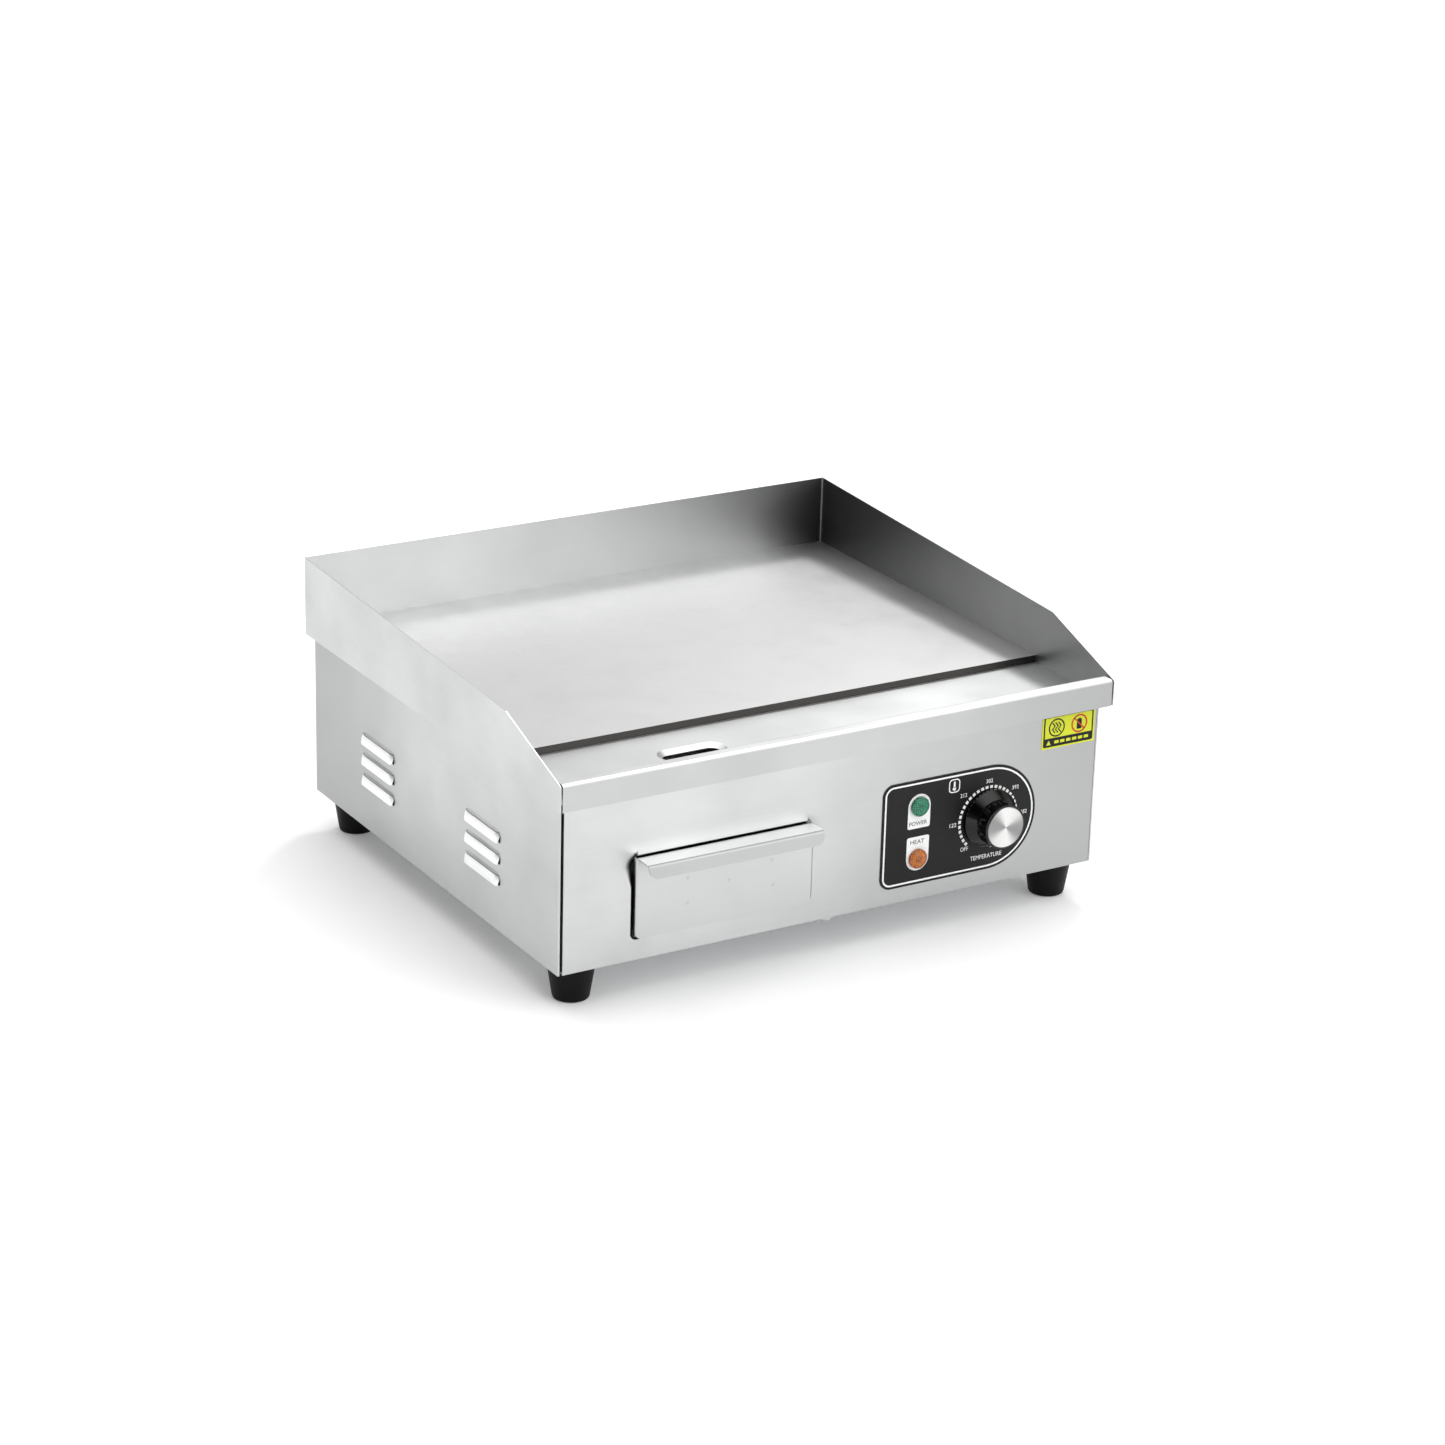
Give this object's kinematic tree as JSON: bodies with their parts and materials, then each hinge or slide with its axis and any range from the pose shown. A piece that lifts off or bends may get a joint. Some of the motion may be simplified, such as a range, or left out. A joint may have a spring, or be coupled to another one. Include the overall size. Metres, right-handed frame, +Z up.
{
  "type": "electric griddle",
  "caption": "Counter-top electric griddle with a flat steel plate, three-sided splash guard, sliding grease drawer, thermostat knob and two indicator lamps.",
  "frame": {"origin": "on the surface the feet stand on, at the middle of the griddle's bounding box in X and Y", "axes": "+X to the cook's right along the plate's width, -Y towards the cook (control panel side), +Z up"},
  "size_m": [0.4526, 0.4188, 0.2116],
  "materials": {
    "stainless": "satin",
    "plate_steel": "satin",
    "galvanised": "matte",
    "zinc_plated": "satin",
    "element_sheath": "matte",
    "fibre_blanket": "matte",
    "black_film": "satin",
    "green_lens": "gloss",
    "amber_lens": "gloss",
    "ivory_plastic": "matte",
    "thermostat_ceramic": "matte",
    "copper": "satin",
    "black_gloss": "gloss",
    "spun_aluminium": "satin",
    "terminal_brass": "satin",
    "brown_insulation": "matte",
    "blue_insulation": "matte",
    "white_insulation": "matte",
    "red_insulation": "matte",
    "gland_plastic": "matte",
    "gland_rubber": "matte",
    "rating_foil": "matte",
    "yellow_film": "satin",
    "foot_rubber": "matte"
  },
  "bodies": {
    "chassis": {"front_panel": "stainless", "left_side_panel": "stainless", "right_side_panel": "stainless", "rear_panel": "stainless", "base_plate": "galvanised", "grease_deck": "stainless", "left_splash_guard": "stainless", "right_splash_guard": "stainless", "rear_splash_guard": "stainless", "griddle_plate": "plate_steel", "front_heating_element": "element_sheath", "rear_heating_element": "element_sheath", "element_clamp_bars": "element_sheath", "plate_studs": "zinc_plated", "clamp_nuts": "zinc_plated", "insulation_blanket": "fibre_blanket", "heat_shield": "galvanised", "left_drawer_rail": "galvanised", "right_drawer_rail": "galvanised", "drawer_stop": "galvanised", "control_label": "black_film", "power_lens": "green_lens", "heat_lens": "amber_lens", "lamp_bodies": "ivory_plastic", "lamp_clips": "zinc_plated", "thermostat_body": "thermostat_ceramic", "thermostat_bracket": "galvanised", "thermostat_screws": "zinc_plated", "capillary_tube": "copper", "sensor_bulb": "copper", "bulb_clips": "zinc_plated", "thermal_cutout": "thermostat_ceramic", "terminal_block": "ivory_plastic", "terminal_screws": "terminal_brass", "earth_stud": "terminal_brass", "line_lead": "brown_insulation", "neutral_lead": "blue_insulation", "element_leads": "white_insulation", "lamp_leads": "red_insulation", "cord_gland": "gland_plastic", "gland_seal": "gland_rubber", "gland_nut": "gland_plastic", "rating_plate": "rating_foil", "hot_surface_label": "yellow_film", "front_left_foot": "foot_rubber", "front_right_foot": "foot_rubber", "rear_left_foot": "foot_rubber", "rear_right_foot": "foot_rubber", "foot_washers": "zinc_plated", "foot_screws": "zinc_plated", "foot_nuts": "zinc_plated", "base_screw": "zinc_plated", "rear_screws": "zinc_plated"},
    "drawer": {"drawer_front": "stainless", "drawer_tray": "stainless"},
    "dial": {"knob": "black_gloss", "knob_cap": "spun_aluminium", "knob_clip": "zinc_plated", "thermostat_shaft": "zinc_plated"}
  },
  "joints": [
    {"name": "drawer_slide", "type": "slide", "parent": "chassis", "child": "drawer", "axis": [0, -1, 0], "range_m": [0, 0.24]},
    {"name": "knob_turn", "type": "hinge", "parent": "chassis", "child": "dial", "pos_m": [0.1285, -0.195, 0.0795], "axis": [0, 1, 0], "range_deg": [0, 320]}
  ]
}
